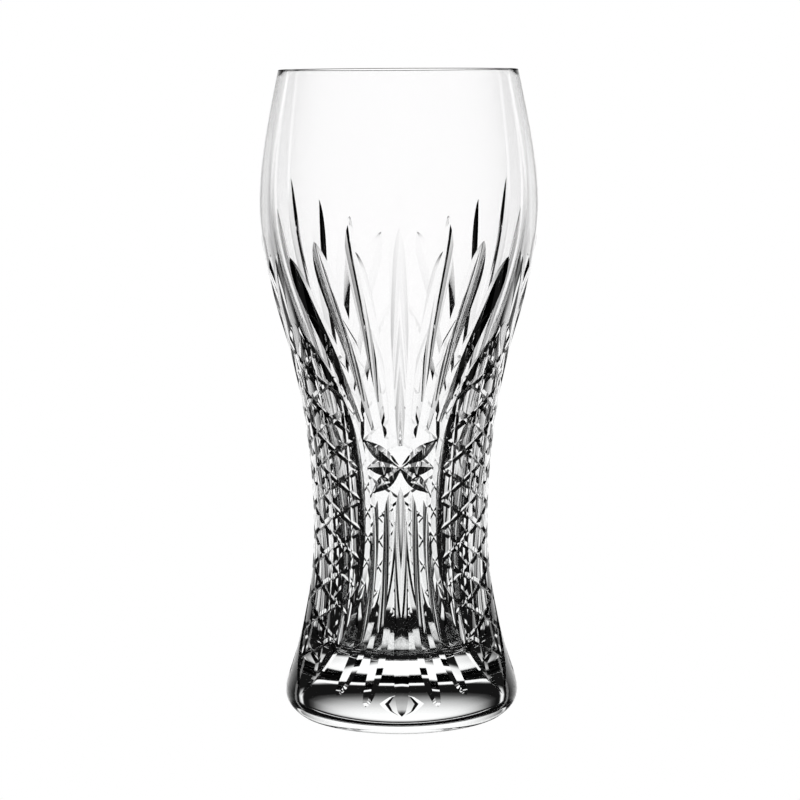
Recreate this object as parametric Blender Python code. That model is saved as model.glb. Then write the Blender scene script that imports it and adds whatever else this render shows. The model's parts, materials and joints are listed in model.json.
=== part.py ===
"""A footed highball glass in cut crystal, in metres, +Z up, standing on z = 0.

The glass is one piece: a turned blank with wheel cuts taken out of its outer face. The cuts repeat in
three equal panels. Each panel holds a fan of rays, a star and a set of flutes inside two curved border
cuts, and between the panels is a lattice of crossing grooves.
"""

import bpy
import numpy as np

# Heights above the table of the levels that shape the outside of the blank.
HEIGHT = 0.200
BOWL_Z = 0.158
SHOULDER_Z = 0.122
WAIST_Z = 0.058
FLARE_Z = 0.015
HEEL_Z = 0.006

# Outer radii at those levels.
RIM_RADIUS = 0.0367
BOWL_RADIUS = 0.0429
SHOULDER_RADIUS = 0.0364
WAIST_RADIUS = 0.0272
FLARE_RADIUS = 0.0342
HEEL_RADIUS = 0.0366
FOOT_RADIUS = 0.0333

# How far the outside leans out from upright at some of those levels, and how the heel rounds under.
RIM_LEAN = np.radians(-11.86)
SHOULDER_LEAN = np.radians(16.7)
FLARE_LEAN = np.radians(-17.22)
HEEL_POWER = 2.5

# Thickness of the glass, across the axis, and the round between floor and wall.
RIM_WALL = 0.0010
BOWL_WALL = 0.0033
SHOULDER_WALL = 0.0052
WAIST_WALL = 0.0085
FLARE_WALL = 0.0125
FLOOR_THICKNESS = 0.0182
FLOOR_ROUND = 0.0050

# The pattern repeats in equal panels round the axis.
PANELS = 3

# Border cuts: each bows from the seam between two panels in to the waist and back to the seam. Each kind of
# cut is a V with its own width and half angle.
BORDER_TOP_Z = 0.125
BORDER_MIDDLE_Z = 0.068
BORDER_BOTTOM_Z = 0.008
BORDER_MIDDLE_ANGLE = np.radians(24.0)
BORDER_BOW = 2.4
BORDER_WIDTH = 0.0048
BORDER_HALF_ANGLE = np.radians(63.4)

# Lattice: meridian grooves and two sets of slanting grooves, which leave hexagons and triangles.
LATTICE_COLUMNS = 3
LATTICE_PITCH = np.radians(120.0 / 7)
LATTICE_WIDTH = 0.0020
LATTICE_CROSSING_Z = 0.0612
LATTICE_BOTTOM_Z = 0.0130
LATTICE_HALF_ANGLE = np.radians(68.0)
LATTICE_SHORTEST = 0.006

# Fan: leaf cuts either side of a middle one, from narrow roots above the star to points on the bowl.
FAN_SIDE_RAYS = 3
FAN_TIP_Z = 0.1640
FAN_TIP_DROP = 0.0080
FAN_TIP_PITCH = np.radians(20.0)
FAN_ROOT_Z = 0.0880
FAN_ROOT_RISE = 0.0024
FAN_ROOT_PITCH = np.radians(7.6)
FAN_WIDTH = 0.0072
FAN_HALF_ANGLE = np.radians(67.5)

# Star: three leaf cuts that cross at its middle, given by how far their two tips lie from it.
STAR_Z = 0.0810
STAR_WIDTH = 0.0046
STAR_HALF_ANGLE = np.radians(53.0)
STAR_LEVEL_REACH = 0.0107
STAR_UPPER_REACH = 0.0122
STAR_UPPER_RISE = 0.0092
STAR_LOWER_REACH = 0.0093
STAR_LOWER_DROP = 0.0083

# Flutes: cuts below the star that spread with the border and end in points on the heel.
FLUTE_SIDE_CUTS = 2
FLUTE_TOP_Z = 0.0755
FLUTE_TOP_DROP = 0.0022
FLUTE_END_Z = 0.0062
FLUTE_END_RISE = 0.0024
FLUTE_SHARE = 0.305
FLUTE_TOP_WIDTH = 0.0035
FLUTE_END_WIDTH = 0.0056
FLUTE_HALF_ANGLE = np.radians(65.5)

# How the rays of the fan spread, and how the depth of a cut swells between its two ends, as shares of its
# length or depth and as powers.
FAN_DROP_POWER = 0.8
FAN_PITCH_POWER = 0.86
FAN_ROOT_SHARE = 0.25
FAN_SWELL_POWER = 2.2
FAN_POINT_FROM = 0.77
FAN_POINT_POWER = 0.75
BORDER_END_POWER = 6
STAR_MIDDLE_SHARE = 0.08
STAR_END_POWER = 6
FLUTE_TOP_SHARE = 0.07
FLUTE_END_POWER = 12

# How far a cutter stands out of the blank, and how far it lifts off it at the tips of a cut.
CUTTER_LIFT = 0.0015
TIP_LIFT = 0.0001

# Fineness of the solid. Flats that meet at less than the flat angle become one, and edges over the
# sharp angle stay crisp.
SEGMENTS = 42
RIM_STEPS = 2
HEEL_STEPS = 3
FLOOR_STEPS = 3
OUTER_ROW_STEP = 0.016
INNER_ROW_STEP = 0.026
BORDER_STEPS = 13
LEAF_STEPS = 3
LEAST_STOP = 0.03
LEAST_TURN = np.radians(2.0)
TRACE_STEPS = 1200
SLOPE_STEP = 1e-5
FLAT_ANGLE = np.radians(3.0)
SHARP_ANGLE = np.radians(30.0)

GLASS_COLOUR = (0.97, 0.98, 0.98, 1.0)
GLASS_ROUGHNESS = 0.0
GLASS_INDEX = 1.545


def clear_scene():
    for old in list(bpy.data.objects):
        bpy.data.objects.remove(old, do_unlink=True)


def cubic(x, knots):
    """The piecewise cubic curve through rows of (place, value, slope)."""
    places, values, slopes = np.array(knots).T
    k = np.clip(np.searchsorted(places, x) - 1, 0, len(places) - 2)
    step = places[k + 1] - places[k]
    t = (x - places[k]) / step
    start = (1 + 2 * t) * (1 - t) ** 2 * values[k] + t * (1 - t) ** 2 * step * slopes[k]
    end = t**2 * (3 - 2 * t) * values[k + 1] - t**2 * (1 - t) * step * slopes[k + 1]
    return start + end


def outer_radius(z):
    """The radius of the uncut blank at height z: a round heel, then a curve through the named levels."""
    levels = [
        (HEEL_Z, HEEL_RADIUS, 0.0),
        (FLARE_Z, FLARE_RADIUS, np.tan(FLARE_LEAN)),
        (WAIST_Z, WAIST_RADIUS, 0.0),
        (SHOULDER_Z, SHOULDER_RADIUS, np.tan(SHOULDER_LEAN)),
        (BOWL_Z, BOWL_RADIUS, 0.0),
        (HEIGHT, RIM_RADIUS, np.tan(RIM_LEAN)),
    ]
    below = np.clip((HEEL_Z - z) / HEEL_Z, 0.0, 1.0)
    heel = FOOT_RADIUS + (HEEL_RADIUS - FOOT_RADIUS) * (1 - below**HEEL_POWER)
    return np.where(z < HEEL_Z, heel, cubic(np.maximum(z, HEEL_Z), levels))


def inner_radius(z):
    """The radius of the hollow at height z, from the wall thickness at the named levels."""
    levels = np.array([FLARE_Z, WAIST_Z, SHOULDER_Z, BOWL_Z, HEIGHT])
    walls = np.array([FLARE_WALL, WAIST_WALL, SHOULDER_WALL, BOWL_WALL, RIM_WALL])
    slopes = np.gradient(walls, levels)
    return outer_radius(z) - cubic(z, np.stack([levels, walls, slopes], axis=1))


def rows_between(marks, row_step):
    """Heights from the first mark up to the last, which is left out, about a row step apart."""
    rows = []
    for start, end in zip(marks, marks[1:]):
        count = max(2, round((end - start) / row_step))
        rows.append(np.linspace(start, end, count, endpoint=False))
    return np.concatenate(rows)


def outer_rows():
    """Heights of the rows of the blank's outer face, from the table to under the lip."""
    turn = np.linspace(0.0, np.pi / 2, HEEL_STEPS, endpoint=False)
    marks = [HEEL_Z, FLARE_Z, WAIST_Z, SHOULDER_Z, BOWL_Z, HEIGHT - RIM_WALL / 2]
    return np.concatenate([HEEL_Z * (1 - np.cos(turn)), rows_between(marks, OUTER_ROW_STEP)])


def blank_profile():
    """Radius and height of the blank's half section, from the foot over the rim to the floor."""
    outer = np.stack([outer_radius(outer_rows()), outer_rows()], axis=1)

    lip_z = HEIGHT - RIM_WALL / 2
    turn = np.linspace(0.0, np.pi, RIM_STEPS + 1)
    lip_middle = (outer_radius(lip_z) + inner_radius(lip_z)) / 2
    lip_half = (outer_radius(lip_z) - inner_radius(lip_z)) / 2
    rim_r = lip_middle + lip_half * np.cos(turn)
    rim = np.stack([rim_r, lip_z + RIM_WALL / 2 * np.sin(turn)], axis=1)

    floor_top = FLOOR_THICKNESS + FLOOR_ROUND
    marks = [floor_top, WAIST_Z, SHOULDER_Z, BOWL_Z, lip_z]
    inner_z = rows_between(marks, INNER_ROW_STEP)[::-1]
    inner = np.stack([inner_radius(inner_z), inner_z], axis=1)

    turn = np.linspace(0.0, np.pi / 2, FLOOR_STEPS + 1)[1:]
    flat = inner_radius(floor_top) - FLOOR_ROUND
    floor_r = flat + FLOOR_ROUND * np.cos(turn)
    floor = np.stack([floor_r, floor_top - FLOOR_ROUND * np.sin(turn)], axis=1)
    return np.concatenate([outer, rim, inner, floor])


def new_object(name, vertices, faces, collection):
    mesh = bpy.data.meshes.new(name)
    mesh.from_pydata(vertices.tolist(), [], faces)
    mesh.update()
    made = bpy.data.objects.new(name, mesh)
    collection.objects.link(made)
    return made


def ring_points(radius, angle, z):
    """Points at the given radius and height. Angle 0 faces -Y, and angles run towards +X."""
    return np.stack([radius * np.sin(angle), -radius * np.cos(angle), z], axis=-1)


def facet_edges():
    """Angles of the upright edges of the blank, over two turns."""
    return np.arange(2 * SEGMENTS) * 2 * np.pi / SEGMENTS


def turn_blank(name):
    """The uncut glass: the half section turned about Z, closed under the foot and on the floor."""
    profile = blank_profile()
    rows = len(profile)
    angles = facet_edges()[:SEGMENTS]
    rings = ring_points(profile[:, :1], angles[None, :], np.repeat(profile[:, 1:], SEGMENTS, axis=1))
    poles = np.array([[0.0, 0.0, 0.0], [0.0, 0.0, FLOOR_THICKNESS]])
    vertices = np.concatenate([rings.reshape(-1, 3), poles])
    foot_pole = rows * SEGMENTS
    floor_pole = foot_pole + 1
    faces = []
    for a in range(SEGMENTS):
        b = (a + 1) % SEGMENTS
        faces.append([foot_pole, b, a])
        for row in range(rows - 1):
            low = row * SEGMENTS
            faces.append([low + a, low + b, low + SEGMENTS + b, low + SEGMENTS + a])
        last = (rows - 1) * SEGMENTS
        faces.append([floor_pole, last + a, last + b])
    blank = new_object(name, vertices, faces, bpy.context.scene.collection)
    blank.data.shade_smooth()
    blank.data.set_sharp_from_angle(angle=SHARP_ANGLE)
    return blank


def groove(angle, z, depth, half_angle):
    """Vertices and faces of one V cutter along a path of angle and height on the blank.

    Its section is a triangle, with its point the given depth under the blank's outer face.
    """
    radius = outer_radius(z)
    points = ring_points(radius, angle, z)
    slope = (outer_radius(z + SLOPE_STEP) - outer_radius(z - SLOPE_STEP)) / (2 * SLOPE_STEP)
    out = ring_points(np.ones_like(z), angle, -slope)
    out /= np.linalg.norm(out, axis=1, keepdims=True)
    along = np.gradient(points, axis=0)
    side = np.cross(out, along)
    side /= np.linalg.norm(side, axis=1, keepdims=True)
    reach = ((depth + CUTTER_LIFT) * np.tan(half_angle))[:, None]
    bottom = points - out * depth[:, None]
    top = points + out * CUTTER_LIFT
    vertices = np.stack([bottom, top + side * reach, top - side * reach], axis=1).reshape(-1, 3)
    faces = [[0, 2, 1]]
    for k in range(len(z) - 1):
        a = 3 * k
        for i, j in ((0, 1), (1, 2), (2, 0)):
            faces.append([a + i, a + j, a + 3 + j, a + 3 + i])
    last = 3 * (len(z) - 1)
    faces.append([last, last + 1, last + 2])
    return vertices, faces


def cutter(name, grooves, collection):
    """One hidden object that holds several grooves, repeated in every panel."""
    vertices, faces = [], []
    count = 0
    for panel in range(PANELS):
        for angle, z, depth, half_angle in grooves:
            points, around = groove(angle + panel * 2 * np.pi / PANELS, z, depth, half_angle)
            vertices.append(points)
            faces += [[count + v for v in face] for face in around]
            count += len(points)
    made = new_object(name, np.concatenate(vertices), faces, collection)
    made.hide_render = True
    made.display_type = "WIRE"
    return made


def v_depth(width, half_angle):
    return width / 2 / np.tan(half_angle)


def border_angle(z):
    """How far a border cut lies from the middle of its panel at height z."""
    seam = np.pi / PANELS
    above = (z - BORDER_MIDDLE_Z) / (BORDER_TOP_Z - BORDER_MIDDLE_Z)
    below = (BORDER_MIDDLE_Z - z) / (BORDER_MIDDLE_Z - BORDER_BOTTOM_Z)
    bow = np.maximum(np.maximum(above, below), 0.0) ** BORDER_BOW
    return BORDER_MIDDLE_ANGLE + (seam - BORDER_MIDDLE_ANGLE) * bow


def stops_between(start, end, shares):
    """Shares of the way from one height to another: the blank's rows in between, and the given shares."""
    rows = (outer_rows() - start) / (end - start)
    shares = np.array(shares)
    clear = np.abs(rows[:, None] - shares[None, :]).min(axis=1) > LEAST_STOP
    kept = rows[clear & (rows > shares.min()) & (rows < shares.max())]
    return np.sort(np.concatenate([shares, kept]))


def border_cuts(side):
    s = np.linspace(0.0, 1.0, BORDER_STEPS + 1)
    z = BORDER_BOTTOM_Z + (BORDER_TOP_Z - BORDER_BOTTOM_Z) * s
    depth = v_depth(BORDER_WIDTH, BORDER_HALF_ANGLE) * (1 - (2 * s - 1) ** BORDER_END_POWER) - TIP_LIFT
    return [(side * border_angle(z), z, depth, BORDER_HALF_ANGLE)]


def fan_rays(first):
    """Every second ray of the fan, starting at the given count from its middle."""
    rays = []
    for k in range(first, FAN_SIDE_RAYS + 1, 2):
        root_z = FAN_ROOT_Z + FAN_ROOT_RISE * k
        tip_z = FAN_TIP_Z - FAN_TIP_DROP * k**FAN_DROP_POWER
        s = stops_between(root_z, tip_z, (0.0, *np.linspace(FAN_POINT_FROM, 1.0, LEAF_STEPS + 1)))
        swell = 1 - (1 - FAN_ROOT_SHARE) * (1 - s) ** FAN_SWELL_POWER
        point = np.clip((s - FAN_POINT_FROM) / (1 - FAN_POINT_FROM), 0.0, 1.0)
        swell *= (1 - point**2) ** FAN_POINT_POWER
        depth = v_depth(FAN_WIDTH, FAN_HALF_ANGLE) * swell - TIP_LIFT
        root_angle = FAN_ROOT_PITCH * k
        tip_angle = FAN_TIP_PITCH * k**FAN_PITCH_POWER
        angle = root_angle + (tip_angle - root_angle) * s
        z = root_z + (tip_z - root_z) * s
        for side in (1, -1) if k else (1,):
            rays.append((side * angle, z, depth, FAN_HALF_ANGLE))
    return rays


def star_cut(tips):
    """One double leaf through the star's middle, between two tips given as (reach, rise)."""
    s = np.linspace(-1.0, 1.0, 2 * LEAF_STEPS + 1)
    first, last = np.array(tips)
    reach = np.where(s < 0, -s * first[0], s * last[0])
    rise = np.where(s < 0, -s * first[1], s * last[1])
    z = STAR_Z + rise
    leaf = STAR_MIDDLE_SHARE + (1 - STAR_MIDDLE_SHARE) * np.sin(np.pi * np.abs(s))
    depth = v_depth(STAR_WIDTH, STAR_HALF_ANGLE) * leaf * (1 - s**STAR_END_POWER) - TIP_LIFT
    return [(reach / outer_radius(z), z, depth, STAR_HALF_ANGLE)]


def flute_cuts(first):
    """Every second flute, starting at the given count from the panel's middle."""
    flutes = []
    for k in range(first, FLUTE_SIDE_CUTS + 1, 2):
        top_z = FLUTE_TOP_Z - FLUTE_TOP_DROP * k
        end_z = FLUTE_END_Z + FLUTE_END_RISE * k
        s = stops_between(top_z, end_z, (0.0, FLUTE_TOP_SHARE, 1 - FLUTE_TOP_SHARE, 1.0))
        swell = np.tanh(s / FLUTE_TOP_SHARE) * np.sqrt(1 - s**FLUTE_END_POWER)
        width = FLUTE_TOP_WIDTH + (FLUTE_END_WIDTH - FLUTE_TOP_WIDTH) * s
        depth = v_depth(width, FLUTE_HALF_ANGLE) * swell - TIP_LIFT
        z = top_z + (end_z - top_z) * s
        angle = k * FLUTE_SHARE * border_angle(z)
        for side in (1, -1) if k else (1,):
            flutes.append((side * angle, z, depth, FLUTE_HALF_ANGLE))
    return flutes


def inside_lattice(offset, z):
    """Whether a point, by its angle from the seam, lies between the two border cuts."""
    return np.abs(offset) < np.pi / PANELS - border_angle(z)


def lattice_groove(offset, z):
    """A groove through points that are all inside the lattice."""
    depth = np.full_like(z, v_depth(LATTICE_WIDTH, LATTICE_HALF_ANGLE))
    return offset + np.pi / PANELS, z, depth, LATTICE_HALF_ANGLE


def lattice_meridians():
    trace_z = np.linspace(LATTICE_BOTTOM_Z, BORDER_TOP_Z, TRACE_STEPS)
    grooves = []
    for k in range(LATTICE_COLUMNS + 1):
        offset = (k - LATTICE_COLUMNS / 2) * LATTICE_PITCH
        inside = trace_z[inside_lattice(offset, trace_z)]
        if len(inside) and np.ptp(inside) > LATTICE_SHORTEST:
            start, end = inside[0], inside[-1]
            z = start + (end - start) * stops_between(start, end, (0.0, 1.0))
            grooves.append(lattice_groove(np.full_like(z, offset), z))
    return grooves


def lattice_slants(lean):
    """Grooves that climb at 30 degrees to the level, towards +X or -X by the sign of lean.

    They are even in a height measured in radii of the blank, so the cells keep their shape as it flares.
    """
    trace_z = np.linspace(LATTICE_BOTTOM_Z, BORDER_TOP_Z, TRACE_STEPS)
    radius = outer_radius(trace_z)
    slant = np.hypot(np.diff(radius), np.diff(trace_z)) / (radius[1:] + radius[:-1]) * 2
    climb = np.concatenate([[0.0], np.cumsum(slant)])
    level = np.interp(LATTICE_CROSSING_Z, trace_z, climb)
    rate = lean * np.tan(np.pi / 6)
    period = 2 * LATTICE_PITCH * abs(rate)
    widest = np.pi / PANELS - BORDER_MIDDLE_ANGLE
    trace = np.linspace(-widest, widest, TRACE_STEPS)
    facets = facet_edges() - 2 * np.pi
    grooves = []
    count = int(np.ceil((climb[-1] + widest) / period))
    for k in range(-count, count + 1):
        height = level + k * period + rate * trace
        on_blank = (height > 0) & (height < climb[-1])
        inside = trace[on_blank & inside_lattice(trace, np.interp(height, climb, trace_z))]
        if len(inside) == 0 or np.ptp(inside) * WAIST_RADIUS < LATTICE_SHORTEST:
            continue
        ends = inside[[0, -1]]
        clear = np.abs(facets[:, None] - ends).min(axis=1) > LEAST_TURN
        between = facets[clear & (facets > ends[0]) & (facets < ends[1])]
        offset = np.sort(np.concatenate([ends, between]))
        z = np.interp(level + k * period + rate * offset, climb, trace_z)
        grooves.append(lattice_groove(offset, z))
    return grooves


def glass_material():
    material = bpy.data.materials.new("clear_crystal")
    material.use_nodes = True
    shader = material.node_tree.nodes["Principled BSDF"]
    shader.inputs["Base Color"].default_value = GLASS_COLOUR
    shader.inputs["Roughness"].default_value = GLASS_ROUGHNESS
    shader.inputs["IOR"].default_value = GLASS_INDEX
    shader.inputs["Transmission Weight"].default_value = 1.0
    return material


def build():
    clear_scene()
    glass = turn_blank("glass_body")
    upper_left = (-STAR_UPPER_REACH, STAR_UPPER_RISE)
    upper_right = (STAR_UPPER_REACH, STAR_UPPER_RISE)
    lower_left = (-STAR_LOWER_REACH, -STAR_LOWER_DROP)
    lower_right = (STAR_LOWER_REACH, -STAR_LOWER_DROP)
    level_tips = ((-STAR_LEVEL_REACH, 0.0), (STAR_LEVEL_REACH, 0.0))
    cuts = {
        "cut_lattice_meridians": lattice_meridians(),
        "cut_lattice_rising": lattice_slants(1),
        "cut_lattice_falling": lattice_slants(-1),
        "cut_fan_even": fan_rays(0),
        "cut_fan_odd": fan_rays(1),
        "cut_flutes_even": flute_cuts(0),
        "cut_flutes_odd": flute_cuts(1),
        "cut_border_right": border_cuts(1),
        "cut_border_left": border_cuts(-1),
        "cut_star_level": star_cut(level_tips),
        "cut_star_falling": star_cut((upper_left, lower_right)),
        "cut_star_rising": star_cut((lower_left, upper_right)),
    }
    cutters = bpy.data.collections.new("wheel_cuts")
    bpy.context.scene.collection.children.link(cutters)
    for name, grooves in cuts.items():
        cutter(name, grooves, cutters)
    cut = glass.modifiers.new("wheel_cuts", "BOOLEAN")
    cut.operation = "DIFFERENCE"
    cut.solver = "EXACT"
    cut.operand_type = "COLLECTION"
    cut.collection = cutters
    flats = glass.modifiers.new("flats", "DECIMATE")
    flats.decimate_type = "DISSOLVE"
    flats.angle_limit = FLAT_ANGLE
    glass.data.materials.append(glass_material())


build()
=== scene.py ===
"""The footed highball glass in cut crystal, dressed for its portrait on a white table.

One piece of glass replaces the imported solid: the turned blank and the wheel cuts are worked out again from
the same sizes at full fineness, and every face carries the true normal of the curve that it stands for.
"""

import json

import bmesh
import bpy
import numpy as np
from mathutils import Matrix

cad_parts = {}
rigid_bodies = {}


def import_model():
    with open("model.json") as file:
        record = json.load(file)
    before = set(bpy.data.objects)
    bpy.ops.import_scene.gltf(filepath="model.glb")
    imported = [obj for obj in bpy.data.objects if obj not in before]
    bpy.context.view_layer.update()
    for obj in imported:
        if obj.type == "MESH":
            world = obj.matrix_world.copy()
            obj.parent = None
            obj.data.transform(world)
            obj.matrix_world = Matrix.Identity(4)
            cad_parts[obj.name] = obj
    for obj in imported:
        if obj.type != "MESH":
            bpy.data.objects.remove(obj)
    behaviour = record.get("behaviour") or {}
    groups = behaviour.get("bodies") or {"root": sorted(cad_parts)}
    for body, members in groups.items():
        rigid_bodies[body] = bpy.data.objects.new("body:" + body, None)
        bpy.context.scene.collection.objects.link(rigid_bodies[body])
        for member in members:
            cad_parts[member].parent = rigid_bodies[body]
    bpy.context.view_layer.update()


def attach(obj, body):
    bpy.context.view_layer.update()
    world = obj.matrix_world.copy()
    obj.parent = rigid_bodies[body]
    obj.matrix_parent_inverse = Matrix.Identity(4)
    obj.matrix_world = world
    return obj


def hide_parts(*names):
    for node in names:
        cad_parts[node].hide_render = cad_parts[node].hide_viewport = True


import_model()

# Heights above the table of the levels that shape the outside of the blank, in metres.
HEIGHT = 0.200
BOWL_Z = 0.158
SHOULDER_Z = 0.122
WAIST_Z = 0.058
FLARE_Z = 0.015
HEEL_Z = 0.006

# Outer radii at those levels, and slopes as radius gained per height.
RIM_RADIUS = 0.0367
BOWL_RADIUS = 0.0429
SHOULDER_RADIUS = 0.0364
WAIST_RADIUS = 0.0272
FLARE_RADIUS = 0.0342
HEEL_RADIUS = 0.0366
FOOT_RADIUS = 0.0333
HEEL_POWER = 2.5
RIM_SLOPE = -0.21
SHOULDER_SLOPE = 0.30
FLARE_SLOPE = -0.31

# Thickness of the glass, across the axis, and the round between floor and wall.
RIM_WALL = 0.0010
BOWL_WALL = 0.0033
SHOULDER_WALL = 0.0052
WAIST_WALL = 0.0085
FLARE_WALL = 0.0125
FLOOR_THICKNESS = 0.0182
FLOOR_ROUND = 0.0050

# The pattern repeats in equal panels round the axis.
PANELS = 3

# Border cuts, which bow from the seam between two panels in to the waist and back. The end power is even,
# so both ends run out alike.
BORDER_TOP_Z = 0.125
BORDER_MIDDLE_Z = 0.068
BORDER_BOTTOM_Z = 0.008
BORDER_MIDDLE_ANGLE = np.radians(24.0)
BORDER_BOW = 2.4
BORDER_WIDTH = 0.0048
BORDER_END_POWER = 6
BORDER_HALF_ANGLE = np.radians(63.4)

# Lattice of meridian grooves and two sets of slanting ones.
LATTICE_COLUMNS = 3
LATTICE_PITCH = np.radians(120.0 / 7)
LATTICE_WIDTH = 0.0020
LATTICE_CROSSING_Z = 0.0612
LATTICE_BOTTOM_Z = 0.0130
LATTICE_CLIMB = np.radians(30.0)
LATTICE_HALF_ANGLE = np.radians(68.0)
LATTICE_SHORTEST = 0.004

# Fan of leaf cuts, which swell from narrow roots above the star to blunt points on the bowl.
FAN_SIDE_RAYS = 3
FAN_TIP_Z = 0.1640
FAN_TIP_DROP = 0.0080
FAN_DROP_POWER = 0.8
FAN_TIP_PITCH = np.radians(20.0)
FAN_PITCH_POWER = 0.86
FAN_ROOT_Z = 0.0880
FAN_ROOT_RISE = 0.0024
FAN_ROOT_PITCH = np.radians(7.6)
FAN_WIDTH = 0.0072
FAN_HALF_ANGLE = np.radians(67.5)
FAN_ROOT_SHARE = 0.25
FAN_SWELL_POWER = 2.2
FAN_POINT_FROM = 0.77
FAN_POINT_POWER = 0.75

# Star of three leaf cuts that cross at its middle.
STAR_Z = 0.0810
STAR_WIDTH = 0.0046
STAR_LEVEL_REACH = 0.0107
STAR_UPPER_REACH = 0.0122
STAR_UPPER_RISE = 0.0092
STAR_LOWER_REACH = 0.0093
STAR_LOWER_DROP = 0.0083
STAR_HALF_ANGLE = np.radians(53.0)
STAR_MIDDLE_SHARE = 0.08
STAR_END_POWER = 6

# Flutes below the star, which spread with the border and end in points on the heel.
FLUTE_SIDE_CUTS = 2
FLUTE_TOP_Z = 0.0755
FLUTE_TOP_DROP = 0.0022
FLUTE_END_Z = 0.0062
FLUTE_END_RISE = 0.0024
FLUTE_SHARE = 0.305
FLUTE_TOP_WIDTH = 0.0035
FLUTE_END_WIDTH = 0.0056
FLUTE_HALF_ANGLE = np.radians(65.5)
FLUTE_TOP_SHARE = 0.07
FLUTE_END_POWER = 12

# How far a cutter stands out of the blank, and how far it lifts off it at the tips of a cut.
CUTTER_LIFT = 0.0008
TIP_LIFT = 0.00003

# Fineness of the glass, and the least lengths that count.
SEGMENTS = 252
ROW_STEP = 0.0020
ARC_STEPS = 10
CUT_STEP = 0.0011
FEWEST_CUT_STEPS = 8
POINT_CROWD = 0.6
TRACE_STEPS = 2400
SLOPE_STEP = 1e-6
SHORTEST_EDGE = 1e-6
SHORTEST_VECTOR = 1e-12

# Crystal: a faint tint that deepens towards the foot, polishing waves, and a scuffed edge under the foot.
CRYSTAL_IOR = 1.545
FOOT_TINT = (0.982, 0.990, 0.988)
BOWL_TINT = (1.0, 0.998, 1.0)
TINT_FADES_Z = 0.120
WAVE_SCALE = 55.0
WAVE_HEIGHT = 0.0000012
SCUFF_RADIUS = 0.0295
SCUFF_FULL_RADIUS = 0.0320
SCUFF_Z = 0.0003
SCUFF_SCALE = 900.0
SCUFF_FROM_NOISE = 0.4
SCUFF_FULL_NOISE = 0.6
SCUFF_ROUGHNESS = 0.35

# Camera: its place in metres, how far it looks down and leans, its lens in millimetres on a sensor 36 mm
# wide, and the nearest distance that it sees.
CAMERA_PLACE = (0.0, -0.75, 0.2065)
CAMERA_PITCH = np.radians(8.25)
CAMERA_ROLL = np.radians(0.33)
CAMERA_LENS = 109.4
CAMERA_NEAREST = 0.01

# The set: a white table, and behind the glass a wall with soft lights on it. The wall's distance is from
# the camera, and the places of the lights are from the line of sight, in metres.
WHITE = (1.0, 1.0, 1.0, 1.0)
FLOOR_GAP = 0.0002
FLOOR_REACH = 1.2
FLOOR_GLOW = 1.0
WALL_GLOW = 1.18
WALL_DISTANCE = 1.60
WALL_REACH = 2.4
WALL_CELLS = 160
LIT_MIDDLE = 0.04
LIT_LOW_WIDTH = 0.05
LIT_HIGH_WIDTH = 0.30
LIT_WIDENS_FROM = -0.20
LIT_WIDENS_TO = 0.13
LIT_SIDE_FADE = 1.00
LIT_BOTTOM = -0.26
LIT_BOTTOM_FADE = 0.08
LIT_TOP = 0.195
LIT_TOP_FADE = 0.16
STRIP_NEAR = 0.95
STRIP_FAR = 1.20
STRIP_BOTTOM = -0.70
STRIP_TOP = 0.50
OVERHEAD_BOTTOM = 0.52
OVERHEAD_TOP = 0.90
OVERHEAD_WIDTH = 0.90
LIGHT_FADE = 0.08
ROOM_GLOW = 0.008


def cubic(x, knots):
    """The piecewise cubic curve through rows of (place, value, slope)."""
    places, values, slopes = np.array(knots).T
    k = np.clip(np.searchsorted(places, x) - 1, 0, len(places) - 2)
    step = places[k + 1] - places[k]
    t = (x - places[k]) / step
    start = (1 + 2 * t) * (1 - t) ** 2 * values[k] + t * (1 - t) ** 2 * step * slopes[k]
    end = t**2 * (3 - 2 * t) * values[k + 1] - t**2 * (1 - t) * step * slopes[k + 1]
    return start + end


def outer_radius(z):
    """The radius of the uncut blank at height z: a round heel, then a curve through the named levels."""
    levels = [
        (HEEL_Z, HEEL_RADIUS, 0.0),
        (FLARE_Z, FLARE_RADIUS, FLARE_SLOPE),
        (WAIST_Z, WAIST_RADIUS, 0.0),
        (SHOULDER_Z, SHOULDER_RADIUS, SHOULDER_SLOPE),
        (BOWL_Z, BOWL_RADIUS, 0.0),
        (HEIGHT, RIM_RADIUS, RIM_SLOPE),
    ]
    below = np.clip((HEEL_Z - z) / HEEL_Z, 0.0, 1.0)
    heel = FOOT_RADIUS + (HEEL_RADIUS - FOOT_RADIUS) * (1 - below**HEEL_POWER)
    return np.where(z < HEEL_Z, heel, cubic(np.maximum(z, HEEL_Z), levels))


def inner_radius(z):
    """The radius of the hollow at height z, from the wall thickness at the named levels."""
    levels = np.array([FLARE_Z, WAIST_Z, SHOULDER_Z, BOWL_Z, HEIGHT])
    walls = np.array([FLARE_WALL, WAIST_WALL, SHOULDER_WALL, BOWL_WALL, RIM_WALL])
    slopes = np.gradient(walls, levels)
    return outer_radius(z) - cubic(z, np.stack([levels, walls, slopes], axis=1))


def ring_points(radius, angle, z):
    """Points at the given radius and height. Angle 0 faces -Y, and angles run towards +X."""
    radius, angle, z = np.broadcast_arrays(radius, angle, z)
    return np.stack([radius * np.sin(angle), -radius * np.cos(angle), z], axis=-1)


def unit(vectors):
    """Each vector divided by its length."""
    return vectors / np.maximum(np.linalg.norm(vectors, axis=-1, keepdims=True), SHORTEST_VECTOR)


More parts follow.
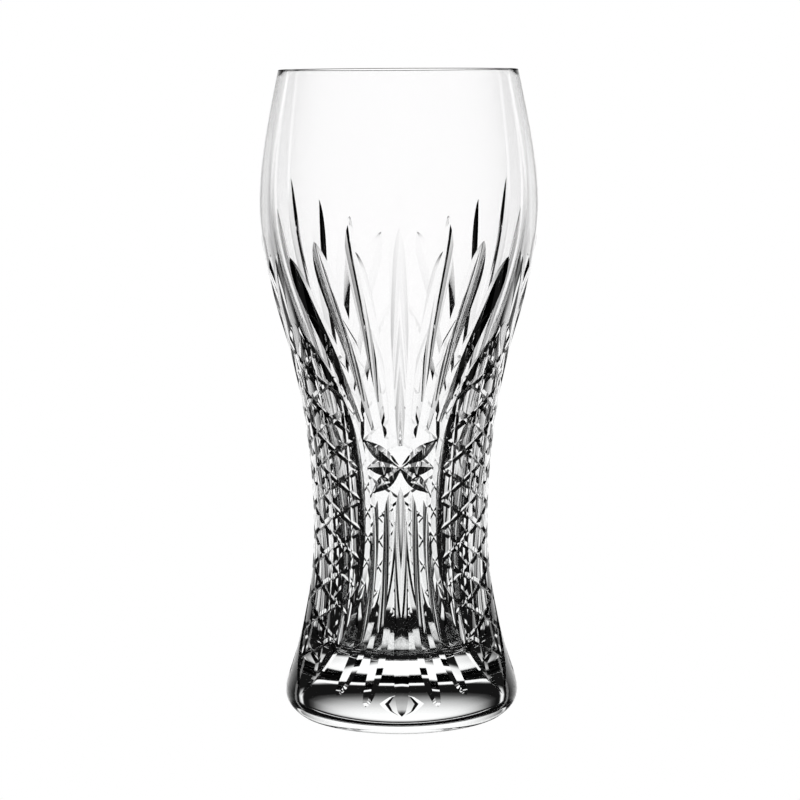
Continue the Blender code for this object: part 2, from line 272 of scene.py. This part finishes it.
def blank_profile():
    """Radius and height of the half section, from the edge of the foot over the rim to the floor."""
    turn = np.linspace(0.0, np.pi / 2, ARC_STEPS, endpoint=False)
    heel_z = HEEL_Z * (1 - np.cos(turn))
    lip_z = HEIGHT - RIM_WALL / 2
    wall_z = np.linspace(HEEL_Z, lip_z, round((lip_z - HEEL_Z) / ROW_STEP), endpoint=False)
    outer_z = np.concatenate([heel_z, wall_z])
    outer = np.stack([outer_radius(outer_z), outer_z], axis=1)

    turn = np.linspace(0.0, np.pi, ARC_STEPS + 1)
    lip_middle = (outer_radius(lip_z) + inner_radius(lip_z)) / 2
    lip_half = (outer_radius(lip_z) - inner_radius(lip_z)) / 2
    rim = np.stack([lip_middle + lip_half * np.cos(turn), lip_z + RIM_WALL / 2 * np.sin(turn)], axis=1)

    floor_top = FLOOR_THICKNESS + FLOOR_ROUND
    inner_z = np.linspace(lip_z, floor_top, round((lip_z - floor_top) / ROW_STEP))[1:]
    inner = np.stack([inner_radius(inner_z), inner_z], axis=1)

    turn = np.linspace(0.0, np.pi / 2, ARC_STEPS + 1)[1:]
    flat = inner_radius(floor_top) - FLOOR_ROUND
    floor = np.stack(
        [flat + FLOOR_ROUND * np.cos(turn), floor_top - FLOOR_ROUND * np.sin(turn)], axis=1
    )
    return np.concatenate([outer, rim, inner, floor])


def mesh_with_normals(name, vertices, faces, normals):
    """A mesh of polygons with the wanted normal of each corner kept beside it."""
    mesh = bpy.data.meshes.new(name)
    mesh.from_pydata(vertices.tolist(), [], faces)
    kept = mesh.attributes.new("true_normal", "FLOAT_VECTOR", "CORNER")
    kept.data.foreach_set("vector", normals.astype(np.float32).ravel())
    mesh.update()
    return mesh


def turned_blank():
    """The uncut glass: the half section carried round Z on a grid of row and angle.

    A grid point is the profile's radius and height turned by its angle, and its normal is the profile's
    tangent turned a quarter towards the outside. The foot and the floor close to a point on the axis.
    """
    profile = blank_profile()
    rows = len(profile)
    angle = np.arange(SEGMENTS) * 2 * np.pi / SEGMENTS
    rings = ring_points(profile[:, :1], angle[None, :], profile[:, 1:])
    ends = np.array([[0.0, 0.0], [0.0, FLOOR_THICKNESS]])
    walk = np.concatenate([ends[:1], profile, ends[1:]])
    chord = unit(np.diff(walk, axis=0))
    tangent = unit(chord[1:] + chord[:-1])
    tangent[0] = (1.0, 0.0)
    tangent[-1] = (-1.0, 0.0)
    ring_normals = ring_points(tangent[:, 1:], angle[None, :], -tangent[:, :1])
    vertices = np.concatenate([rings.reshape(-1, 3), [[0, 0, 0], [0, 0, FLOOR_THICKNESS]]])
    normals = np.concatenate([ring_normals.reshape(-1, 3), [[0, 0, -1], [0, 0, 1]]])

    here = np.arange(SEGMENTS)
    after = (here + 1) % SEGMENTS
    low = (np.arange(rows - 1) * SEGMENTS)[:, None]
    quads = np.stack([low + here, low + after, low + SEGMENTS + after, low + SEGMENTS + here], axis=-1)
    last = (rows - 1) * SEGMENTS
    foot = np.stack([np.full(SEGMENTS, rows * SEGMENTS), after, here], axis=-1)
    floor = np.stack([np.full(SEGMENTS, rows * SEGMENTS + 1), last + here, last + after], axis=-1)
    faces = quads.reshape(-1, 4).tolist() + foot.tolist() + floor.tolist()
    corners = np.concatenate([quads.ravel(), foot.ravel(), floor.ravel()])
    return mesh_with_normals("glass_body_cut", vertices, faces, normals[corners])


def groove(angle, z, depth, half_angle, start):
    """One V cutter: a triangle carried along a path of angle and height on the blank.

    The triangle's point lies the given depth under the blank, square to it, and its base stands above it.
    A flank's normal at an edge is the cross product of the edge's direction along the path and the flank's
    slant. The cutter's vertices are counted from start.
    """
    points = ring_points(outer_radius(z), angle, z)
    slope = (outer_radius(z + SLOPE_STEP) - outer_radius(z - SLOPE_STEP)) / (2 * SLOPE_STEP)
    out = unit(ring_points(np.ones_like(z), angle, -slope))
    side = unit(np.cross(out, np.gradient(points, axis=0)))
    reach = ((depth + CUTTER_LIFT) * np.tan(half_angle))[:, None]
    bottom = points - out * depth[:, None]
    edges = [bottom, points + out * CUTTER_LIFT + side * reach, points + out * CUTTER_LIFT - side * reach]
    vertices = np.stack(edges, axis=1)
    along = np.gradient(vertices, axis=0)
    first = start + 3 * np.arange(len(z) - 1)[:, None]
    quads, normals = [], []
    for i, j in ((0, 1), (1, 2), (2, 0)):
        slant = vertices[:, j] - vertices[:, i]
        at_i = unit(np.cross(along[:, i], slant))
        at_j = unit(np.cross(along[:, j], slant))
        quads.append(first + np.array([i, j, 3 + j, 3 + i]))
        normals.append(np.stack([at_i[:-1], at_j[:-1], at_j[1:], at_i[1:]], axis=1).reshape(-1, 3))
    caps = np.array([[0, 2, 1], [0, 1, 2]]) + [[start], [start + 3 * (len(z) - 1)]]
    faces = np.concatenate(quads).tolist() + caps.tolist()
    normals.append(np.zeros((caps.size, 3)))
    return vertices.reshape(-1, 3), faces, np.concatenate(normals)


def cutter(name, grooves, collection):
    """One object that holds several grooves, repeated in every panel."""
    vertices, faces, normals = [], [], []
    start = 0
    for panel in range(PANELS):
        for angle, z, depth, half_angle in grooves:
            made = groove(angle + panel * 2 * np.pi / PANELS, z, depth, half_angle, start)
            vertices.append(made[0])
            faces += made[1]
            normals.append(made[2])
            start += len(made[0])
    mesh = mesh_with_normals(name, np.concatenate(vertices), faces, np.concatenate(normals))
    collection.objects.link(bpy.data.objects.new(name, mesh))


def v_depth(width, half_angle):
    """The depth of a V of the given width: half the width over the tangent of its half angle."""
    return width / 2 / np.tan(half_angle)


def stops(length):
    """Even shares along a cut of the given length, about a cut step apart."""
    return np.linspace(0.0, 1.0, max(FEWEST_CUT_STEPS, round(length / CUT_STEP)) + 1)


def point_stops(length):
    """Shares along a cut that ends in a rounded point, closer together towards that end."""
    s = stops(length)
    return s + POINT_CROWD * np.sin(np.pi * s) * s / np.pi


def border_angle(z):
    """How far a border cut lies from the middle of its panel at height z.

    It grows from the middle angle to the seam with a power of the share of the way to either end.
    """
    seam = np.pi / PANELS
    above = (z - BORDER_MIDDLE_Z) / (BORDER_TOP_Z - BORDER_MIDDLE_Z)
    below = (BORDER_MIDDLE_Z - z) / (BORDER_MIDDLE_Z - BORDER_BOTTOM_Z)
    bow = np.maximum(np.maximum(above, below), 0.0) ** BORDER_BOW
    return BORDER_MIDDLE_ANGLE + (seam - BORDER_MIDDLE_ANGLE) * bow


def border_cuts(side):
    """The border cut on one side of the panel. Its depth fades with a power of the share to either end."""
    s = stops(BORDER_TOP_Z - BORDER_BOTTOM_Z)
    z = BORDER_BOTTOM_Z + (BORDER_TOP_Z - BORDER_BOTTOM_Z) * s
    depth = v_depth(BORDER_WIDTH, BORDER_HALF_ANGLE) * (1 - (2 * s - 1) ** BORDER_END_POWER) - TIP_LIFT
    return [(side * border_angle(z), z, depth, BORDER_HALF_ANGLE)]


def fan_rays(first):
    """Every second ray of the fan, starting at the given count from its middle.

    A ray runs straight in angle and height from root to tip. Its depth swells with a power of the share of
    the way, and then falls off along a rounded point.
    """
    rays = []
    for k in range(first, FAN_SIDE_RAYS + 1, 2):
        root_z = FAN_ROOT_Z + FAN_ROOT_RISE * k
        tip_z = FAN_TIP_Z - FAN_TIP_DROP * k**FAN_DROP_POWER
        s = point_stops(tip_z - root_z)
        swell = 1 - (1 - FAN_ROOT_SHARE) * (1 - s) ** FAN_SWELL_POWER
        point = np.clip((s - FAN_POINT_FROM) / (1 - FAN_POINT_FROM), 0.0, 1.0)
        swell *= (1 - point**2) ** FAN_POINT_POWER
        depth = v_depth(FAN_WIDTH, FAN_HALF_ANGLE) * swell - TIP_LIFT
        root_angle = FAN_ROOT_PITCH * k
        tip_angle = FAN_TIP_PITCH * k**FAN_PITCH_POWER
        angle = root_angle + (tip_angle - root_angle) * s
        z = root_z + (tip_z - root_z) * s
        for side in (1, -1) if k else (1,):
            rays.append((side * angle, z, depth, FAN_HALF_ANGLE))
    return rays


def star_cut(tips):
    """One double leaf through the star's middle, between two tips given as (reach, rise).

    Its depth follows a sine from the middle to each tip, with a little left at the middle.
    """
    s = 2 * stops(2 * STAR_LEVEL_REACH) - 1
    first, last = np.array(tips)
    reach = np.where(s < 0, -s * first[0], s * last[0])
    rise = np.where(s < 0, -s * first[1], s * last[1])
    z = STAR_Z + rise
    leaf = STAR_MIDDLE_SHARE + (1 - STAR_MIDDLE_SHARE) * np.sin(np.pi * np.abs(s))
    depth = v_depth(STAR_WIDTH, STAR_HALF_ANGLE) * leaf * (1 - s**STAR_END_POWER) - TIP_LIFT
    return [(reach / outer_radius(z), z, depth, STAR_HALF_ANGLE)]


def flute_cuts(first):
    """Every second flute, starting at the given count from the panel's middle.

    A flute keeps its share of the border's angle. Its width grows evenly downwards, its depth comes in along
    a hyperbolic tangent at the top, and a high power rounds its end.
    """
    flutes = []
    for k in range(first, FLUTE_SIDE_CUTS + 1, 2):
        top_z = FLUTE_TOP_Z - FLUTE_TOP_DROP * k
        end_z = FLUTE_END_Z + FLUTE_END_RISE * k
        s = stops(top_z - end_z)
        swell = np.tanh(s / FLUTE_TOP_SHARE) * np.sqrt(1 - s**FLUTE_END_POWER)
        width = FLUTE_TOP_WIDTH + (FLUTE_END_WIDTH - FLUTE_TOP_WIDTH) * s
        depth = v_depth(width, FLUTE_HALF_ANGLE) * swell - TIP_LIFT
        z = top_z + (end_z - top_z) * s
        angle = k * FLUTE_SHARE * border_angle(z)
        for side in (1, -1) if k else (1,):
            flutes.append((side * angle, z, depth, FLUTE_HALF_ANGLE))
    return flutes


def inside_lattice(offset, z):
    """Whether a point, by its angle from the seam, lies between the two border cuts."""
    return np.abs(offset) < np.pi / PANELS - border_angle(z)


def lattice_groove(offset, z):
    """A groove through points that are all inside the lattice."""
    depth = np.full_like(z, v_depth(LATTICE_WIDTH, LATTICE_HALF_ANGLE))
    return offset + np.pi / PANELS, z, depth, LATTICE_HALF_ANGLE


def lattice_meridians():
    """Upright grooves at even angles from the seam, each as long as the borders leave room for."""
    trace_z = np.linspace(LATTICE_BOTTOM_Z, BORDER_TOP_Z, TRACE_STEPS)
    grooves = []
    for k in range(LATTICE_COLUMNS + 1):
        offset = (k - LATTICE_COLUMNS / 2) * LATTICE_PITCH
        inside = trace_z[inside_lattice(offset, trace_z)]
        if len(inside) and np.ptp(inside) > LATTICE_SHORTEST:
            z = inside[0] + np.ptp(inside) * stops(np.ptp(inside))
            grooves.append(lattice_groove(np.full_like(z, offset), z))
    return grooves


def lattice_slants(lean):
    """Grooves that climb at a fixed angle to the level, towards +X or -X by the sign of lean.

    They are even in a height measured in radii of the blank, so the cells keep their shape as it flares.
    """
    trace_z = np.linspace(LATTICE_BOTTOM_Z, BORDER_TOP_Z, TRACE_STEPS)
    radius = outer_radius(trace_z)
    slant = np.hypot(np.diff(radius), np.diff(trace_z)) / (radius[1:] + radius[:-1]) * 2
    climb = np.concatenate([[0.0], np.cumsum(slant)])
    level = np.interp(LATTICE_CROSSING_Z, trace_z, climb)
    rate = lean * np.tan(LATTICE_CLIMB)
    period = 2 * LATTICE_PITCH * abs(rate)
    widest = np.pi / PANELS - BORDER_MIDDLE_ANGLE
    trace = np.linspace(-widest, widest, TRACE_STEPS)
    grooves = []
    count = int(np.ceil((climb[-1] + widest) / period))
    for k in range(-count, count + 1):
        height = level + k * period + rate * trace
        on_blank = (height > 0) & (height < climb[-1])
        inside = trace[on_blank & inside_lattice(trace, np.interp(height, climb, trace_z))]
        if len(inside) and np.ptp(inside) * WAIST_RADIUS > LATTICE_SHORTEST:
            offset = inside[0] + np.ptp(inside) * stops(np.ptp(inside) * WAIST_RADIUS)
            z = np.interp(level + k * period + rate * offset, climb, trace_z)
            grooves.append(lattice_groove(offset, z))
    return grooves


def wheel_cuts():
    """The cutters of the whole pattern, in a collection of their own."""
    upper_left = (-STAR_UPPER_REACH, STAR_UPPER_RISE)
    upper_right = (STAR_UPPER_REACH, STAR_UPPER_RISE)
    lower_left = (-STAR_LOWER_REACH, -STAR_LOWER_DROP)
    lower_right = (STAR_LOWER_REACH, -STAR_LOWER_DROP)
    level_tips = ((-STAR_LEVEL_REACH, 0.0), (STAR_LEVEL_REACH, 0.0))
    cuts = {
        "cut_lattice_meridians": lattice_meridians(),
        "cut_lattice_rising": lattice_slants(1),
        "cut_lattice_falling": lattice_slants(-1),
        "cut_fan_even": fan_rays(0),
        "cut_fan_odd": fan_rays(1),
        "cut_flutes_even": flute_cuts(0),
        "cut_flutes_odd": flute_cuts(1),
        "cut_border_right": border_cuts(1),
        "cut_border_left": border_cuts(-1),
        "cut_star_level": star_cut(level_tips),
        "cut_star_falling": star_cut((upper_left, lower_right)),
        "cut_star_rising": star_cut((lower_left, upper_right)),
    }
    cutters = bpy.data.collections.new("wheel_cuts")
    bpy.context.scene.collection.children.link(cutters)
    for name, grooves in cuts.items():
        cutter(name, grooves, cutters)
    return cutters


def cut_glass():
    """The blank with every groove taken out of it, as one mesh with its true normals."""
    rough = bpy.data.objects.new("glass_blank", turned_blank())
    bpy.context.scene.collection.objects.link(rough)
    cutters = wheel_cuts()
    cut = rough.modifiers.new("wheel_cuts", "BOOLEAN")
    cut.operation = "DIFFERENCE"
    cut.solver = "MANIFOLD"
    cut.operand_type = "COLLECTION"
    cut.collection = cutters
    graph = bpy.context.evaluated_depsgraph_get()
    mesh = bpy.data.meshes.new_from_object(rough.evaluated_get(graph), depsgraph=graph)
    for used in list(cutters.objects) + [rough]:
        bpy.data.objects.remove(used, do_unlink=True)
    bpy.data.collections.remove(cutters)

    tidied = bmesh.new()
    tidied.from_mesh(mesh)
    bmesh.ops.triangulate(tidied, faces=tidied.faces[:])
    bmesh.ops.dissolve_degenerate(tidied, dist=SHORTEST_EDGE, edges=tidied.edges[:])
    tidied.to_mesh(mesh)
    tidied.free()

    normals = np.empty(len(mesh.loops) * 3, dtype=np.float32)
    mesh.attributes["true_normal"].data.foreach_get("vector", normals)
    normals = unit(normals.reshape(-1, 3))
    mesh.attributes.remove(mesh.attributes["true_normal"])
    mesh.materials.clear()
    mesh.shade_smooth()
    mesh.normals_split_custom_set(normals.tolist())
    glass = bpy.data.objects.new("cut_glass", mesh)
    bpy.context.scene.collection.objects.link(glass)
    return glass


def crystal():
    """Clear polished crystal: a tint by height, faint polishing waves, and scuffs by radius under it."""
    material = bpy.data.materials.new("clear_crystal")
    material.use_nodes = True
    nodes, links = material.node_tree.nodes, material.node_tree.links
    shader = nodes["Principled BSDF"]
    shader.inputs["IOR"].default_value = CRYSTAL_IOR
    shader.inputs["Transmission Weight"].default_value = 1.0
    place = nodes.new("ShaderNodeTexCoord").outputs["Object"]
    axes = nodes.new("ShaderNodeSeparateXYZ")
    links.new(place, axes.inputs["Vector"])

    def ramp(value, start, end, low, high):
        """A straight change from low to high as the value goes from start to end."""
        made = nodes.new("ShaderNodeMapRange")
        for socket, number in zip(("From Min", "From Max", "To Min", "To Max"), (start, end, low, high)):
            made.inputs[socket].default_value = number
        links.new(value, made.inputs["Value"])
        return made.outputs["Result"]

    def sums(operation, *values):
        """One step of arithmetic on the values."""
        made = nodes.new("ShaderNodeMath")
        made.operation = operation
        for socket, value in zip(made.inputs, values):
            links.new(value, socket)
        return made.outputs["Value"]

    def noise(scale):
        """Soft noise by place on the glass."""
        made = nodes.new("ShaderNodeTexNoise")
        made.inputs["Scale"].default_value = scale
        links.new(place, made.inputs["Vector"])
        return made.outputs["Fac"]

    tint = nodes.new("ShaderNodeMix")
    tint.data_type = "RGBA"
    tint.inputs["A"].default_value = (*FOOT_TINT, 1.0)
    tint.inputs["B"].default_value = (*BOWL_TINT, 1.0)
    links.new(ramp(axes.outputs["Z"], 0.0, TINT_FADES_Z, 0.0, 1.0), tint.inputs["Factor"])
    links.new(tint.outputs["Result"], shader.inputs["Base Color"])

    x_squared = sums("MULTIPLY", axes.outputs["X"], axes.outputs["X"])
    y_squared = sums("MULTIPLY", axes.outputs["Y"], axes.outputs["Y"])
    radius = sums("SQRT", sums("ADD", x_squared, y_squared))
    under = ramp(axes.outputs["Z"], 0.0, SCUFF_Z, 1.0, 0.0)
    scuffs = ramp(noise(SCUFF_SCALE), SCUFF_FROM_NOISE, SCUFF_FULL_NOISE, 0.0, SCUFF_ROUGHNESS)
    edge = ramp(radius, SCUFF_RADIUS, SCUFF_FULL_RADIUS, 0.0, 1.0)
    links.new(sums("MULTIPLY", sums("MULTIPLY", edge, under), scuffs), shader.inputs["Roughness"])

    waves = nodes.new("ShaderNodeBump")
    waves.inputs["Strength"].default_value = 1.0
    waves.inputs["Distance"].default_value = WAVE_HEIGHT
    links.new(noise(WAVE_SCALE), waves.inputs["Height"])
    links.new(waves.outputs["Normal"], shader.inputs["Normal"])
    return material


def glow(name, strength):
    """White light of the given strength, for a part of the set."""
    material = bpy.data.materials.new(name)
    material.use_nodes = True
    nodes = material.node_tree.nodes
    nodes.clear()
    light = nodes.new("ShaderNodeEmission")
    light.inputs["Color"].default_value = WHITE
    light.inputs["Strength"].default_value = strength
    out = nodes.new("ShaderNodeOutputMaterial")
    material.node_tree.links.new(light.outputs["Emission"], out.inputs["Surface"])
    return material


def smooth(x):
    """The smooth step from 0 at x = 0 to 1 at x = 1."""
    x = np.clip(x, 0.0, 1.0)
    return x * x * (3 - 2 * x)


def band(x, start, end):
    """1 between start and end, with a smooth fade inside each of them, and 0 outside."""
    return smooth((x - start) / LIGHT_FADE) * smooth((end - x) / LIGHT_FADE)


def wall_light(x, y):
    """How bright the wall is at a place beside and above the camera's line of sight.

    The brightest of three lights with smooth edges: a middle one whose sides move out with height, a strip
    at each side, and a wide one overhead.
    """
    widening = smooth((y - LIT_WIDENS_FROM) / (LIT_WIDENS_TO - LIT_WIDENS_FROM))
    half_width = LIT_LOW_WIDTH + (LIT_HIGH_WIDTH - LIT_LOW_WIDTH) * widening
    middle = smooth(1 - (np.abs(x - LIT_MIDDLE) - half_width) / LIT_SIDE_FADE)
    middle *= smooth((y - LIT_BOTTOM) / LIT_BOTTOM_FADE + 1)
    middle *= smooth(1 - (y - LIT_TOP) / LIT_TOP_FADE)
    strips = band(np.abs(x), STRIP_NEAR, STRIP_FAR) * band(y, STRIP_BOTTOM, STRIP_TOP)
    overhead = band(x, -OVERHEAD_WIDTH, OVERHEAD_WIDTH) * band(y, OVERHEAD_BOTTOM, OVERHEAD_TOP)
    brightest = np.maximum(middle, np.maximum(strips, overhead))
    return ROOM_GLOW + (WALL_GLOW - ROOM_GLOW) * brightest


def sheet(name, points, faces, material):
    """A flat part of the set."""
    mesh = bpy.data.meshes.new(name)
    mesh.from_pydata(np.asarray(points).tolist(), [], np.asarray(faces).tolist())
    mesh.materials.append(material)
    made = bpy.data.objects.new(name, mesh)
    bpy.context.scene.collection.objects.link(made)
    return made


def square(reach, z):
    """The corners of a square about the Z axis, square to it."""
    return [(-reach, -reach, z), (reach, -reach, z), (reach, reach, z), (-reach, reach, z)]


def lit_wall():
    """A flat grid square to the camera's line of sight, which keeps its brightness at each grid point."""
    line = np.linspace(-WALL_REACH, WALL_REACH, WALL_CELLS + 1)
    y, x = np.meshgrid(line, line, indexing="ij")
    away = np.full_like(x, -WALL_DISTANCE)
    first = (np.arange(WALL_CELLS)[:, None] * (WALL_CELLS + 1) + np.arange(WALL_CELLS)).ravel()
    cells = first[:, None] + np.array([0, 1, WALL_CELLS + 2, WALL_CELLS + 1])
    material = glow("lit_wall", WALL_GLOW)
    tree = material.node_tree
    light = tree.nodes.new("ShaderNodeAttribute")
    light.attribute_name = "light"
    tree.links.new(light.outputs["Fac"], tree.nodes["Emission"].inputs["Strength"])
    wall = sheet("lit_wall", np.stack([x, y, away], axis=-1).reshape(-1, 3), cells, material)
    kept = wall.data.attributes.new("light", "FLOAT", "POINT")
    kept.data.foreach_set("value", wall_light(x, y).astype(np.float32).ravel())
    wall.visible_camera = False
    return wall


def take_camera():
    """The camera, tilted down from the level and leaning a little, without blur."""
    data = bpy.data.cameras.new("camera")
    data.lens = CAMERA_LENS
    data.clip_start = CAMERA_NEAREST
    made = bpy.data.objects.new("camera", data)
    bpy.context.scene.collection.objects.link(made)
    turn = Matrix.Rotation(np.pi / 2 - CAMERA_PITCH, 4, "X") @ Matrix.Rotation(-CAMERA_ROLL, 4, "Z")
    made.matrix_world = Matrix.Translation(CAMERA_PLACE) @ turn
    bpy.context.scene.camera = made
    return made


def light_the_set(camera):
    """The table, and the lit wall and plain backdrop, which stay behind the glass as the camera sees it."""
    corners = square(FLOOR_REACH, -FLOOR_GAP)
    table = sheet("floor", corners, [range(4)], glow("white_table", FLOOR_GLOW))
    corners = square(WALL_REACH, -WALL_DISTANCE)
    backdrop = sheet("backdrop", corners, [range(4)], glow("white_backdrop", FLOOR_GLOW))
    for plain in (table, backdrop):
        plain.visible_transmission = plain.visible_glossy = False
    backdrop.parent = lit_wall().parent = camera
    world = bpy.data.worlds.new("room")
    world.use_nodes = True
    background = world.node_tree.nodes["Background"]
    background.inputs["Color"].default_value = WHITE
    background.inputs["Strength"].default_value = ROOM_GLOW
    bpy.context.scene.world = world
    bpy.context.scene.view_settings.view_transform = "Standard"


glass = cut_glass()
glass.data.materials.append(crystal())
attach(glass, "root")
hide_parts("glass_body")
light_the_set(take_camera())
